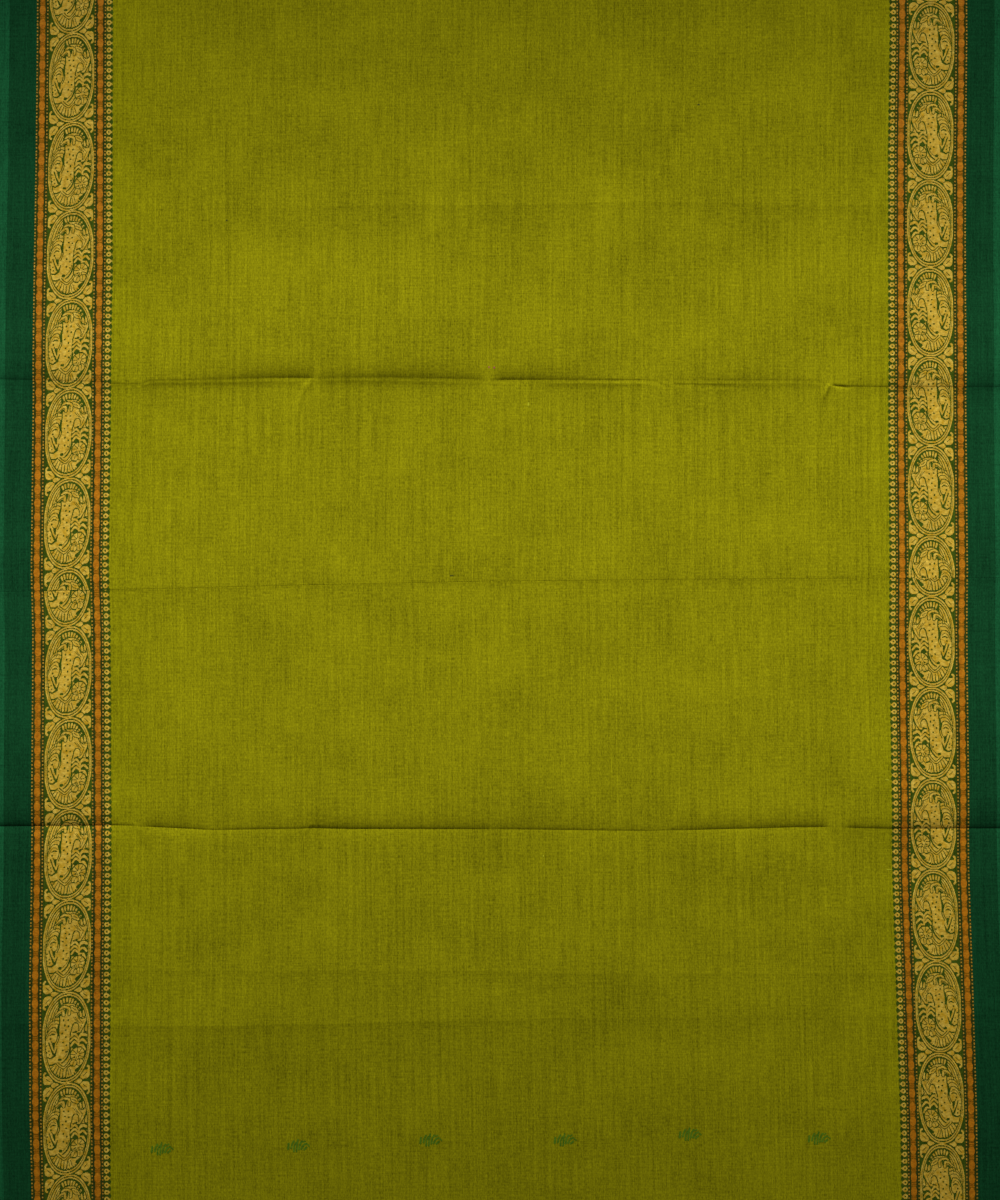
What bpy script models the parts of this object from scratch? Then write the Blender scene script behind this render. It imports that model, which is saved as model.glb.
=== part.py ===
"""Folded cotton sari: one woven length, laid back and forth in four layers, face up.

Metres, +Z up. X runs across the cloth from selvedge to selvedge, and Y along its length.
The origin is at the middle of the stack, on the surface that it rests on.
"""

import math
from collections import namedtuple

import bpy

# The cloth, flat
WIDTH = 1.150
LENGTH = 5.500
SHEET = 0.0012

# The stack
LAYERS = 4
AIR = 0.0013
PITCH = SHEET + AIR
LOOP_RADIUS = PITCH / 2
LOOP_STEPS = 5
LOOP_LENGTH = math.pi * LOOP_RADIUS
HALF_RUN = (LENGTH - (LAYERS - 1) * LOOP_LENGTH) / LAYERS / 2

# How much of the creases' relief each layer takes, the lowest one first
RELIEF_SHARE = (0.0, 0.40, 0.72, 1.0)

# The lines where the layers end or turn, the lowest one first: which end of the stack, how far past
# the mean run, how much the line slants over a metre, and how far the cloth is shifted sideways.
FoldLine = namedtuple("FoldLine", "end out slant shift")
FOLD_LINES = (
    FoldLine(end=-1, out=-0.006, slant=0.003, shift=0.0020),
    FoldLine(end=+1, out=-0.003, slant=-0.002, shift=-0.0015),
    FoldLine(end=-1, out=+0.001, slant=-0.003, shift=0.0020),
    FoldLine(end=+1, out=+0.003, slant=0.002, shift=-0.0010),
    FoldLine(end=-1, out=+0.004, slant=0.001, shift=0.0),
)

# Lengthwise folds, and the borders' stiffer inner edges, part the cloth into eight panels. Height is
# up for a ridge, down for a valley.
LongFold = namedtuple("LongFold", "x height reach")
LONG_FOLDS = (
    LongFold(x=-0.430, height=0.0001, reach=0.010),
    LongFold(x=-0.393, height=0.0004, reach=0.012),
    LongFold(x=-0.210, height=-0.0003, reach=0.014),
    LongFold(x=-0.013, height=0.0005, reach=0.012),
    LongFold(x=+0.188, height=-0.0003, reach=0.014),
    LongFold(x=+0.368, height=0.0004, reach=0.012),
    LongFold(x=+0.430, height=0.0001, reach=0.010),
)
SHARP_FOLD = 0.0002
PANEL_CORNERS = (-WIDTH / 2, *(fold.x for fold in LONG_FOLDS), WIDTH / 2)

# Crosswise creases. Corners is how far the line stands from y at the panels' nine corners. Upper and
# lower are how steeply each panel rises away from the line on that side of it, over about a reach.
Crease = namedtuple("Crease", "y upper_reach lower_reach corners upper lower")
CREASES = (
    Crease(
        y=+0.437,
        upper_reach=0.012,
        lower_reach=0.010,
        corners=(0.004, 0.003, 0.003, 0.002, 0.000, -0.002, -0.003, -0.003, -0.004),
        upper=(0.00, 0.00, 0.00, -0.02, -0.02, 0.03, 0.03, 0.03),
        lower=(0.00, 0.00, -0.02, -0.02, 0.00, 0.00, 0.00, 0.00),
    ),
    Crease(
        y=+0.243,
        upper_reach=0.011,
        lower_reach=0.007,
        corners=(0.0023, -0.0008, -0.0010, 0.0038, 0.0020, 0.0007, -0.0020, -0.0045, -0.0060),
        upper=(0.20, -0.03, 0.22, 0.25, 0.24, 0.13, 0.12, 0.18),
        lower=(-0.18, -0.17, -0.20, -0.12, -0.10, -0.15, -0.16, -0.20),
    ),
    Crease(
        y=+0.021,
        upper_reach=0.020,
        lower_reach=0.010,
        corners=(-0.012, -0.0095, -0.009, -0.004, 0.0, 0.002, 0.003, 0.0035, 0.004),
        upper=(0.02,) * 8,
        lower=(0.0,) * 8,
    ),
    Crease(
        y=-0.252,
        upper_reach=0.009,
        lower_reach=0.014,
        corners=(-0.0010, 0.0035, 0.0005, -0.0005, -0.0011, -0.0028, 0.0020, 0.0005, -0.0010),
        upper=(0.28, 0.02, 0.22, 0.25, 0.20, 0.25, 0.18, 0.24),
        lower=(0.08, 0.10, 0.10, 0.09, 0.03, 0.07, -0.08, 0.12),
    ),
    Crease(
        y=-0.406,
        upper_reach=0.010,
        lower_reach=0.010,
        corners=(0.0, 0.0, 0.0, 0.0, 0.001, 0.001, 0.0, 0.0, 0.0),
        upper=(0.0,) * 8,
        lower=(-0.04, -0.04, -0.05, -0.03, 0.0, -0.01, -0.02, -0.02),
    ),
    Crease(
        y=-0.464,
        upper_reach=0.006,
        lower_reach=0.013,
        corners=(0.0, 0.0, 0.0, -0.001, -0.001, 0.001, 0.002, 0.002, 0.003),
        upper=(0.0, 0.0, 0.0, 0.0, 0.02, 0.02, 0.02, 0.02),
        lower=(-0.04, -0.04, -0.05, -0.08, -0.08, -0.03, -0.03, -0.03),
    ),
)
DEEP = 0.10
PANEL_BLEND = 0.020
CREASE_FADE = 0.110

# Soft waves in the laid cloth: height, length across, length along, phase
Wave = namedtuple("Wave", "height across along phase")
WAVES = (
    Wave(height=0.0004, across=0.43, along=0.61, phase=0.9),
    Wave(height=0.0003, across=0.27, along=0.34, phase=2.3),
)
END_FADE = 0.050

# How the upper layers' edges waver, from the stack's near end to its far one
EDGE_Y = (-0.652, -0.564, -0.431, -0.299, -0.033, 0.033, 0.232, 0.365, 0.498, 0.630)
LEFT_EDGE = (0.0010, -0.0016, -0.0025, -0.0006, -0.0010, -0.0029, -0.0015, -0.0010, 0.0005, 0.0012)
RIGHT_EDGE = (0.0094, 0.0089, 0.0056, 0.0020, 0.0015, 0.0025, 0.0017, 0.0021, 0.0030, 0.0054)

# Mesh density
EDGE_INSET = 0.030
FOLD_INSET = 0.011
MAIN_ROWS = (-0.045, -0.020, -0.008, -0.002, 0.0, 0.003, 0.010, 0.022, 0.050)
SPARE_MAIN_ROWS = (-0.030, -0.008, 0.0, 0.010, 0.035)
FAINT_ROWS = (-0.010, 0.0, 0.010)
LONGEST_ROW_GAP = 0.15
SLOPE_STEP = 0.0005

CLOTH_COLOUR = (0.235, 0.242, 0.004, 1.0)
CLOTH_ROUGHNESS = 0.85


def ramp(t):
    """0 to 1 with level ends."""
    t = min(max(t, 0.0), 1.0)
    return t * t * (3 - 2 * t)


def between(places, values, at):
    """Straight interpolation of values given at rising places."""
    at = min(max(at, places[0]), places[-1])
    for low, high, a, b in zip(places, places[1:], values, values[1:]):
        if at <= high:
            return a + (b - a) * (at - low) / (high - low)
    return values[-1]


def blended(panels, x):
    """A panel's own value at x, blended across the lengthwise folds."""
    value = panels[0]
    for fold, left, right in zip(LONG_FOLDS, panels, panels[1:]):
        value += (right - left) * ramp((x - fold.x) / PANEL_BLEND + 0.5)
    return value


def crease_line(crease, x):
    return crease.y + between(PANEL_CORNERS, crease.corners, x)


def crease_height(crease, x, y):
    """Slopes away from the crease's line on both sides, never below the layer's own level."""
    off = y - crease_line(crease, x)
    upper = blended(crease.upper, x) * crease.upper_reach
    lower = blended(crease.lower, x) * crease.lower_reach
    side, reach = (upper, crease.upper_reach) if off > 0 else (lower, crease.lower_reach)
    lift = -min(upper, lower, 0.0)
    height = lift + side * (1 - math.exp(-abs(off) / reach))
    return height * math.exp(-((off / CREASE_FADE) ** 2))


def relief(x, y):
    """Height of the laid cloth above the layer's own level, in the creases' full depth."""
    height = sum(crease_height(crease, x, y) for crease in CREASES)
    height += sum(fold.height * math.exp(-abs(x - fold.x) / fold.reach) for fold in LONG_FOLDS)
    for wave in WAVES:
        across = math.sin(math.tau * x / wave.across + wave.phase)
        along = math.sin(math.tau * y / wave.along + 2 * wave.phase)
        height += wave.height * across * along
    return height * ramp((HALF_RUN - abs(y)) / END_FADE)


def line_y(line, x):
    """Where a fold line or a free end lies at x."""
    return line.end * (HALF_RUN + line.out) + line.slant * x


def laid_x(layer, x, y):
    """Sideways place on a layer: it drifts from one fold line's shift to the next one's, and the
    upper layers waver along their edges."""
    first, second = FOLD_LINES[layer], FOLD_LINES[layer + 1]
    share = (y - line_y(first, x)) / (line_y(second, x) - line_y(first, x))
    drift = first.shift + (second.shift - first.shift) * share
    across = x / WIDTH + 0.5
    waver = between(EDGE_Y, LEFT_EDGE, y) * (1 - across)
    waver += between(EDGE_Y, RIGHT_EDGE, y) * across
    return x + drift + waver * RELIEF_SHARE[layer]


def columns():
    """Places across the cloth: panel corners and middles, and more at each sharp fold."""
    found = set(PANEL_CORNERS)
    for fold in LONG_FOLDS:
        if abs(fold.height) > SHARP_FOLD:
            found |= {fold.x - FOLD_INSET, fold.x + FOLD_INSET}
    found |= {(a + b) / 2 for a, b in zip(PANEL_CORNERS, PANEL_CORNERS[1:])}
    return sorted(found)


def crease_rows(layer):
    """(crease, distance from its line) for each row that follows a crease on a layer."""
    rows = []
    for crease in CREASES:
        if max(crease.upper) < DEEP:
            steps = FAINT_ROWS if layer > 1 else (0.0,)
        else:
            steps = MAIN_ROWS if layer == LAYERS - 1 else SPARE_MAIN_ROWS
        rows += [(crease, step) for step in steps]
    return rows if RELIEF_SHARE[layer] else []


def layer_rows(layer):
    """The rows of a layer in the order in which the cloth runs. A row gives its y at each x."""
    low, high = sorted(FOLD_LINES[layer : layer + 2], key=lambda line: line.end)
    rows = [
        lambda x: line_y(low, x),
        lambda x: line_y(low, x) + EDGE_INSET,
        lambda x: line_y(high, x) - EDGE_INSET,
        lambda x: line_y(high, x),
    ]
    rows += [lambda x, c=c, off=off: crease_line(c, x) + off for c, off in crease_rows(layer)]
    rows.sort(key=lambda row: row(0.0))
    filled = [rows[0]]
    for row in rows[1:]:
        if RELIEF_SHARE[layer] and row(0.0) - filled[-1](0.0) > LONGEST_ROW_GAP:
            filled.append(lambda x, a=filled[-1], b=row: (a(x) + b(x)) / 2)
        filled.append(row)
    return filled if FOLD_LINES[layer].end < 0 else filled[::-1]


def flat_point(layer, x, y):
    """A point in the middle of the sheet, and the direction that the cloth's face has there."""
    share = RELIEF_SHARE[layer]
    height = SHEET / 2 + layer * PITCH + share * relief(x, y)
    slope_x = share * (relief(x + SLOPE_STEP, y) - relief(x - SLOPE_STEP, y)) / (2 * SLOPE_STEP)
    slope_y = share * (relief(x, y + SLOPE_STEP) - relief(x, y - SLOPE_STEP)) / (2 * SLOPE_STEP)
    size = math.sqrt(1 + slope_x**2 + slope_y**2)
    side = FOLD_LINES[layer].end / size
    return (laid_x(layer, x, y), y, height), (-slope_x * side, -slope_y * side, side)


def loop_point(layer, x, angle):
    """The same on the loop from a layer to the one above it."""
    line = FOLD_LINES[layer + 1]
    out, up = line.end * math.cos(angle), math.sin(angle)
    y = line_y(line, x)
    centre = SHEET / 2 + layer * PITCH + LOOP_RADIUS
    place = (laid_x(layer, x, y), y + LOOP_RADIUS * out, centre + LOOP_RADIUS * up)
    return place, (0.0, line.end * out, line.end * up)


def cloth_rows():
    """The whole cloth, row by row from its lower free end to its upper one."""
    across = columns()
    rows = []
    for layer in range(LAYERS):
        rows += [[flat_point(layer, x, row(x)) for x in across] for row in layer_rows(layer)]
        if layer < LAYERS - 1:
            for step in range(1, LOOP_STEPS):
                angle = math.pi * (step / LOOP_STEPS - 0.5)
                rows.append([loop_point(layer, x, angle) for x in across])
    return rows


def sheet_mesh(rows):
    """One closed skin round the rows: the face side, the back, the selvedges and the two ends."""
    wide, long = len(rows[0]), len(rows)
    points = []
    for side in (SHEET / 2, -SHEET / 2):
        for row in rows:
            points += [tuple(p + side * n for p, n in zip(*point)) for point in row]

    def face(i, j):
        return i * wide + j

    def back(i, j):
        return (long + i) * wide + j

    faces = []
    for i in range(long - 1):
        for j in range(wide - 1):
            faces.append((face(i, j), face(i + 1, j), face(i + 1, j + 1), face(i, j + 1)))
            faces.append((back(i, j), back(i, j + 1), back(i + 1, j + 1), back(i + 1, j)))
        last = wide - 1
        faces.append((face(i, 0), back(i, 0), back(i + 1, 0), face(i + 1, 0)))
        faces.append((face(i, last), face(i + 1, last), back(i + 1, last), back(i, last)))
    for j in range(wide - 1):
        last = long - 1
        faces.append((face(0, j), face(0, j + 1), back(0, j + 1), back(0, j)))
        faces.append((face(last, j), back(last, j), back(last, j + 1), face(last, j + 1)))

    mesh = bpy.data.meshes.new("folded_sari")
    mesh.from_pydata(centred(points), [], faces)
    mesh.shade_smooth()
    return mesh


def centred(points):
    """The points with the middle of their box at x = y = 0."""
    middle = [(min(p[k] for p in points) + max(p[k] for p in points)) / 2 for k in (0, 1)]
    return [(p[0] - middle[0], p[1] - middle[1], p[2]) for p in points]


def cloth_material():
    material = bpy.data.materials.new("olive_cotton")
    material.use_nodes = True
    shader = material.node_tree.nodes["Principled BSDF"]
    shader.inputs["Base Color"].default_value = CLOTH_COLOUR
    shader.inputs["Roughness"].default_value = CLOTH_ROUGHNESS
    shader.inputs["Metallic"].default_value = 0.0
    return material


def main():
    for old in list(bpy.data.objects):
        bpy.data.objects.remove(old)
    sari = bpy.data.objects.new("folded_sari", sheet_mesh(cloth_rows()))
    sari.data.materials.append(cloth_material())
    bpy.context.scene.collection.objects.link(sari)


main()
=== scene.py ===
"""Looks of the folded cotton sari: its cloth, its woven borders and small flowers, and the studio.

Metres, in the CAD model's frame. Places on the cloth are u, across it from its middle line, and s,
along it from the lower free end of the stack.
"""

import math
from collections import namedtuple
from functools import cache

import bpy
import numpy as np
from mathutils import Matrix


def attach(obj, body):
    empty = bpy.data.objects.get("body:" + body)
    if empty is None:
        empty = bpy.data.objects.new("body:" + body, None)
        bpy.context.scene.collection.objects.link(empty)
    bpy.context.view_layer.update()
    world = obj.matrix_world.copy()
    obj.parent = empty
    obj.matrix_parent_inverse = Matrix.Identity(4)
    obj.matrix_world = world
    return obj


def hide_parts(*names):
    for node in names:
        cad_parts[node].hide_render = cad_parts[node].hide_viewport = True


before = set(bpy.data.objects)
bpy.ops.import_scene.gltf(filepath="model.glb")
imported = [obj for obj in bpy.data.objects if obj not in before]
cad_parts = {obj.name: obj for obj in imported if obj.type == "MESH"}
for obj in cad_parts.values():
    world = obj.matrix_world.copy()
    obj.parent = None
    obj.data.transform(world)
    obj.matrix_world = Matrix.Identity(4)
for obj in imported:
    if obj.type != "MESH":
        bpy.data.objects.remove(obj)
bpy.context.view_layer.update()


def table(kind, *rows):
    """The rows of a table as named tuples of one kind."""
    return tuple(kind(*row) for row in rows)


NODE = "folded_sari"

# The cloth, and the stack that it is folded into
WIDTH = 1.15
LENGTH = 5.5
SHEET = 0.00012
LAYERS = 4
PITCH = 0.0025
LOWEST = 0.0004
LOOP_RADIUS = PITCH / 2
LOOP_LENGTH = math.pi * LOOP_RADIUS
RUN = (LENGTH - (LAYERS - 1) * LOOP_LENGTH) / LAYERS
TOP = LAYERS - 1
RELIEF_SHARE = (0.0, 0.4, 0.72, 1.0)

FoldLine = namedtuple("FoldLine", "end out slant shift")
FOLD_LINES = table(
    FoldLine,
    (-1, -0.006, 0.003, 0.002),
    (1, -0.003, -0.002, -0.0015),
    (-1, 0.001, -0.003, 0.002),
    (1, 0.003, 0.002, -0.001),
    (-1, 0.004, 0.001, 0),
)

# A narrow tuck is pressed into the top layer, which hides twice its depth of the cloth
TUCK_DEPTH = 0.0176
TUCK_DEPTH_SLANT = -0.0015
TUCK_PLY = 0.00013
TUCK_REST = 0.045
TUCK_TURN = math.pi * TUCK_PLY / 4
LAYER_RUN = (RUN, RUN, RUN, RUN + 2 * TUCK_DEPTH)
LAYER_START = tuple(k * (RUN + LOOP_LENGTH) for k in range(LAYERS))
CLOTH_END = LAYER_START[TOP] + LAYER_RUN[TOP]

# Lengthwise folds, and the borders' stiffer inner edges, part the cloth into panels
LongFold = namedtuple("LongFold", "x height reach")
LONG_FOLDS = table(
    LongFold,
    (-0.43, 0.0001, 0.01),
    (-0.393, 0.0004, 0.012),
    (-0.21, -0.0003, 0.014),
    (-0.013, 0.0005, 0.012),
    (0.188, -0.0003, 0.014),
    (0.368, 0.0004, 0.012),
    (0.43, 0.0001, 0.01),
)

# Crosswise creases. Each has the reach of its slopes above and below its line, and stations from left
# to right: where the line stands, the steepness with which the cloth rises away from it above and below,
# and how strong the furrow on the line and the ridge below it are
Station = namedtuple("Station", "x y upper lower furrow ridge", defaults=(0, 0))
Crease = namedtuple("Crease", "upper_reach lower_reach stations")


def new_crease(upper_reach, lower_reach, *stations):
    return Crease(upper_reach, lower_reach, table(Station, *stations))


UPPER_CREASE = new_crease(
    0.011, 0.007,
    (-0.575, 0.2457, 0.25, -0.15, 0.5, 0.5),
    (-0.44, 0.242, 0.1, -0.18, 0.6),
    (-0.431, 0.24, 0.06, -0.22, 1.1),
    (-0.396, 0.24, 0.04, -0.14, 0.5),
    (-0.388, 0.2446, 0.04, -0.3, 0.1, 0.8),
    (-0.35, 0.2453, 0.1, -0.34, 0.1, 1),
    (-0.318, 0.2457, 0.22, -0.36, 0.2, 1),
    (-0.288, 0.2463, 0.27, -0.38, 0.3, 1),
    (-0.249, 0.2468, 0.36, -0.24, 0.3, 0.9),
    (-0.218, 0.2468, 0.38, -0.14, 0.4, 0.5),
    (-0.209, 0.2466, 0.34, -0.06, 0.6, 0.1),
    (-0.205, 0.2466, 0.02, -0.06),
    (-0.198, 0.2467, 0.2, -0.28, 0.3, 0.7),
    (-0.166, 0.2478, 0.27, -0.36, 0.1, 0.9),
    (-0.12, 0.2474, 0.37, -0.34, 0.1, 0.8),
    (-0.066, 0.2462, 0.31, -0.24, 0.1, 0.6),
    (-0.036, 0.2452, 0.33, -0.18, 0.1, 0.5),
    (-0.022, 0.2448, 0.26, -0.12, 0.1, 0.2),
    (-0.013, 0.2445, 0.02, -0.04, 0.1),
    (0.003, 0.2446, 0.38, -0.06, 0.7),
    (0.04, 0.2446, 0.33, -0.12, 0.6),
    (0.058, 0.2446, 0.28, -0.22, 0.6, 0.9),
    (0.09, 0.2446, 0.12, -0.22, 0.9, 1.1),
    (0.125, 0.2443, 0.02, -0.18, 1.3, 1.1),
    (0.16, 0.2441, 0, -0.12, 1.2, 0.9),
    (0.176, 0.2438, 0, 0, 0.3),
    (0.195, 0.2436, 0.05, 0, 0.2, 0.2),
    (0.218, 0.244, 0.1, -0.05, 0.2, 0.4),
    (0.246, 0.2441, 0.12, -0.18, 0.6, 0.8),
    (0.29, 0.2441, 0.09, -0.18, 0.6, 0.7),
    (0.318, 0.2441, 0.1, -0.22, 0.5, 0.7),
    (0.352, 0.2438, 0.06, -0.16, 0.3, 0.4),
    (0.362, 0.2384, 0, -0.04, 0.4),
    (0.374, 0.2376, 0.02, -0.1, 1.7),
    (0.4, 0.2368, 0.14, -0.2, 0.9),
    (0.43, 0.2364, 0.18, -0.2, 0.7),
    (0.575, 0.2366, 0.2, -0.2, 0.5),
)
LOWER_CREASE = new_crease(
    0.009, 0.014,
    (-0.575, -0.25, 0.42, 0.14, 0.6),
    (-0.44, -0.249, 0.24, 0.16, 1.2),
    (-0.424, -0.2488, 0.1, 0.12, 1.4),
    (-0.404, -0.2492, 0.02, 0.08, 0.9),
    (-0.395, -0.2503, 0.06, 0.06, 0.3),
    (-0.384, -0.2506, 0.28, 0.14, 0.8),
    (-0.343, -0.2526, 0.26, 0.16, 0.9),
    (-0.327, -0.2536, 0.14, 0.08, 0.9),
    (-0.316, -0.254, 0.02, 0.02, 0.7),
    (-0.305, -0.2538, 0.14, 0.08, 1),
    (-0.254, -0.2528, 0.14, -0.04, 1.2),
    (-0.221, -0.2524, 0.14, -0.04, 1.2),
    (-0.208, -0.2517, 0.36, -0.02, 0.8),
    (-0.166, -0.2528, 0.38, 0.04, 0.7),
    (-0.122, -0.2528, 0.31, 0.07, 0.8),
    (-0.077, -0.2528, 0.26, 0, 0.9),
    (-0.044, -0.253, 0.33, 0, 0.6),
    (-0.019, -0.253, 0.27, -0.04, 0.6),
    (-0.01, -0.2528, 0.15, -0.02, 0.4),
    (0, -0.253, 0.24, -0.02, 0.6),
    (0.066, -0.2539, 0.24, 0.02, 0.7),
    (0.111, -0.2545, 0.16, 0.02, 0.8),
    (0.155, -0.255, 0.14, 0, 0.7),
    (0.173, -0.2548, 0.08, 0, 0.2),
    (0.192, -0.2543, 0.18, 0.02, 0.4),
    (0.21, -0.2539, 0.27, 0.04, 0.6),
    (0.243, -0.253, 0.32, 0.08, 0.5),
    (0.288, -0.2519, 0.29, 0.12, 0.6),
    (0.326, -0.2508, 0.36, 0.05, 0.5),
    (0.354, -0.2506, 0.33, -0.02, 0.6),
    (0.362, -0.2506, 0.02, -0.05, 0.1),
    (0.373, -0.2508, 0.04, -0.06, 0.2),
    (0.383, -0.2513, 0.3, -0.12, 0.6),
    (0.428, -0.2524, 0.26, -0.16, 0.9),
    (0.575, -0.252, 0.36, 0.14, 0.6),
)
FAINT_CREASES = (
    new_crease(
        0.01, 0.012,
        (-0.575, 0.434, 0, 0),
        (-0.301, 0.435, 0, -0.01),
        (-0.16, 0.439, -0.05, -0.06),
        (0.04, 0.44, -0.05, -0.06),
        (0.12, 0.4426, -0.04, -0.07),
        (0.25, 0.4426, -0.04, -0.07),
        (0.29, 0.4392, -0.03, -0.07),
        (0.42, 0.4384, -0.02, -0.05),
        (0.575, 0.436, 0, 0),
    ),
    new_crease(
        0.01, 0.01,
        (-0.575, -0.408, 0, -0.03),
        (-0.301, -0.4088, -0.02, -0.05),
        (-0.06, -0.4084, -0.03, -0.06),
        (0.088, -0.4118, -0.03, -0.05),
        (0.28, -0.4118, -0.03, -0.04),
        (0.575, -0.411, 0, -0.02),
    ),
    new_crease(
        0.006, 0.013,
        (-0.575, -0.47, 0, -0.05),
        (-0.301, -0.4696, -0.02, -0.1),
        (-0.17, -0.4664, -0.02, -0.1),
        (-0.06, -0.4636, 0, -0.1),
        (0.088, -0.4626, 0, -0.08, 0.2),
        (0.28, -0.4588, 0, -0.05, 0.1),
        (0.575, -0.458, 0, -0.03),
    ),
)
CREASES = (UPPER_CREASE, LOWER_CREASE, *FAINT_CREASES)
TUCK = new_crease(
    0.0025, 0.0025,
    (-0.575, 0.009, 0, 0),
    (-0.44, 0.0113, 0, 0),
    (-0.425, 0.0117, 0.06, -0.04),
    (-0.21, 0.017, 0.06, -0.04),
    (-0.013, 0.021, 0.06, -0.04),
    (0.188, 0.023, 0.06, -0.04),
    (0.425, 0.0245, 0.06, -0.04),
    (0.44, 0.0245, 0, 0),
    (0.575, 0.025, 0, 0),
)
CREASE_FADE = 0.11

# The ridge that is pressed below a crease's line, and the furrow on the line
RIDGE_HEIGHT = 0.0004
RIDGE_WIDTH = 0.0022
RIDGE_BELOW = 0.0042
FURROW_DEPTH = 0.0004
FURROW_ABOVE = 0.001
FURROW_BELOW = 0.003

# The cloth in front of the tuck swells up to it, so that no open edge shows
SWELL_PLIES = 1.7
SWELL_REACH = 0.003
SWELL_RISE = 0.0005

# Short wrinkles where creases and folds meet: height above 0 is a ridge
Wrinkle = namedtuple("Wrinkle", "start end height width")
WRINKLES = table(
    Wrinkle,
    ((-0.2128, 0.244), (-0.2258, 0.206), 0.0013, 0.0021),
    ((-0.2078, 0.2452), (-0.2108, 0.2358), 0.0009, 0.0017),
    ((0.18, 0.2393), (0.272, 0.2377), -0.00055, 0.0011),
    ((0.3565, 0.2215), (0.365, 0.2405), 0.0016, 0.002),
    ((0.366, 0.239), (0.389, 0.2345), -0.00045, 0.0015),
    ((0.19, -0.221), (0.191, -0.251), -0.0004, 0.0015),
    ((0.191, -0.251), (0.1835, -0.272), -0.00035, 0.002),
    ((-0.398, -0.263), (-0.367, -0.314), -0.0009, 0.007),
    ((-0.312, -0.2455), (-0.312, -0.261), -0.0003, 0.0012),
    ((-0.2155, -0.2565), (-0.209, -0.2455), 0.0004, 0.0015),
    ((-0.0145, 0.2565), (-0.0065, 0.232), -0.0004, 0.0016),
    ((-0.411, -0.243), (-0.396, -0.2565), 0.0005, 0.0025),
    ((0.1615, 0.2465), (0.1945, 0.232), -0.00035, 0.0016),
    ((-0.575, -0.019), (-0.515, -0.018), -0.0003, 0.001),
)
WRINKLE_ENDS = (0.15, 0.85)

# Broad waves, with their lengths across and along the cloth
Wave = namedtuple("Wave", "height across along phase")
WAVES = table(Wave, (0.0004, 0.43, 0.61, 0.9), (0.0003, 0.27, 0.34, 2.3))
END_FADE = 0.05

# How the upper layers waver sideways: at a few places across them, from the near end to the far one
WAVER_Y = (-0.652, -0.564, -0.431, -0.299, -0.033, 0.033, 0.232, 0.365, 0.498, 0.63)
Waver = namedtuple("Waver", "x shifts")
WAVERS = table(
    Waver,
    (-0.51, (0.001, -0.0016, -0.0025, -0.0006, -0.001, -0.0029, -0.0015, -0.001, 0.0005, 0.0012)),
    (-0.43, (0.0014, 0.0001, 0.0002, 0.001, -0.0012, -0.0032, -0.0016, -0.0002, -0.0008, -0.0009)),
    (0.43, (0.0123, 0.0112, 0.0074, 0.0038, 0.0018, 0.0024, 0.002, 0.0026, 0.0032, 0.0058)),
    (0.51, (0.0094, 0.0089, 0.0056, 0.002, 0.0015, 0.0025, 0.0017, 0.0021, 0.003, 0.0054)),
)

# How far the weave runs ahead of its even repeat, by the distance down the top layer
DRIFT_AT = (0.06, 0.13, 0.22, 0.31, 0.42, 0.52, 0.62, 0.68, 0.76, 0.85, 0.95, 1.05, 1.16, 1.3)
DRIFT = (
    0.0039, 0.0032, 0.0033, 0.001, 0.0006, -0.0006, -0.0004,
    0.0, 0.0007, 0.0012, 0.0017, 0.0016, 0.0029, 0.0027,
)

# Mesh density: rows so far above and below creases, and columns so far beside folds. A ridge that
# runs so many times further along the cloth than across it gets close columns
ROW_GAP = 0.02
COLUMN_GAP = 0.018
SPARE_ROW_GAP = 0.08
MAIN_ROWS = (
    0.0005, 0.001, 0.0016, 0.0023, 0.003, 0.0037, 0.0046,
    0.006, 0.0085, 0.012, 0.016, 0.0205, 0.026, 0.033,
)
FAINT_ROWS = (0.001, 0.003, 0.006, 0.011)
LOWER_MAIN_ROWS = MAIN_ROWS[4::3]
LOWER_FAINT_ROWS = FAINT_ROWS[2:3]
TUCK_ROWS = (0.0001, 0.0003, 0.0006, 0.0012, 0.0025, 0.0045, 0.008)
FOLD_COLUMNS = (0.002, 0.005, 0.01)
WRINKLE_COLUMNS = 4
STEEP_WRINKLE = 1.75
CLOSEST_COLUMNS = 0.00105
LOOP_STEPS = 6
TURN_STEPS = 4
SLOPE_STEP = 0.0002


def ramp(t):
    """0 to 1 with level ends."""
    t = np.clip(t, 0.0, 1.0)
    return t * t * (3 - 2 * t)


def on_crease(crease, x, what):
    """A value of the crease at x, between its stations."""
    places = [station.x for station in crease.stations]
    return np.interp(x, places, [getattr(station, what) for station in crease.stations])


def crease_line(crease, x):
    return on_crease(crease, x, "y")


def crease_height(crease, x, y):
    """Slopes on both sides of a line, kept above the layer's level, with a pressed line between."""
    off = y - crease_line(crease, x)
    upper = on_crease(crease, x, "upper") * crease.upper_reach
    lower = on_crease(crease, x, "lower") * crease.lower_reach
    lift = -np.minimum(np.minimum(upper, lower), 0.0)
    side = np.where(off > 0, upper, lower)
    away = np.abs(off) / np.where(off > 0, crease.upper_reach, crease.lower_reach)
    slope = lift + side * (1 - np.exp(-away))
    ridge = RIDGE_HEIGHT * np.exp(-(((off + RIDGE_BELOW) / RIDGE_WIDTH) ** 2))
    furrow = FURROW_DEPTH * np.exp(-np.abs(off) / np.where(off > 0, FURROW_ABOVE, FURROW_BELOW))
    pressed = on_crease(crease, x, "ridge") * ridge - on_crease(crease, x, "furrow") * furrow
    return slope * np.exp(-((off / CREASE_FADE) ** 2)) + pressed


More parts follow.
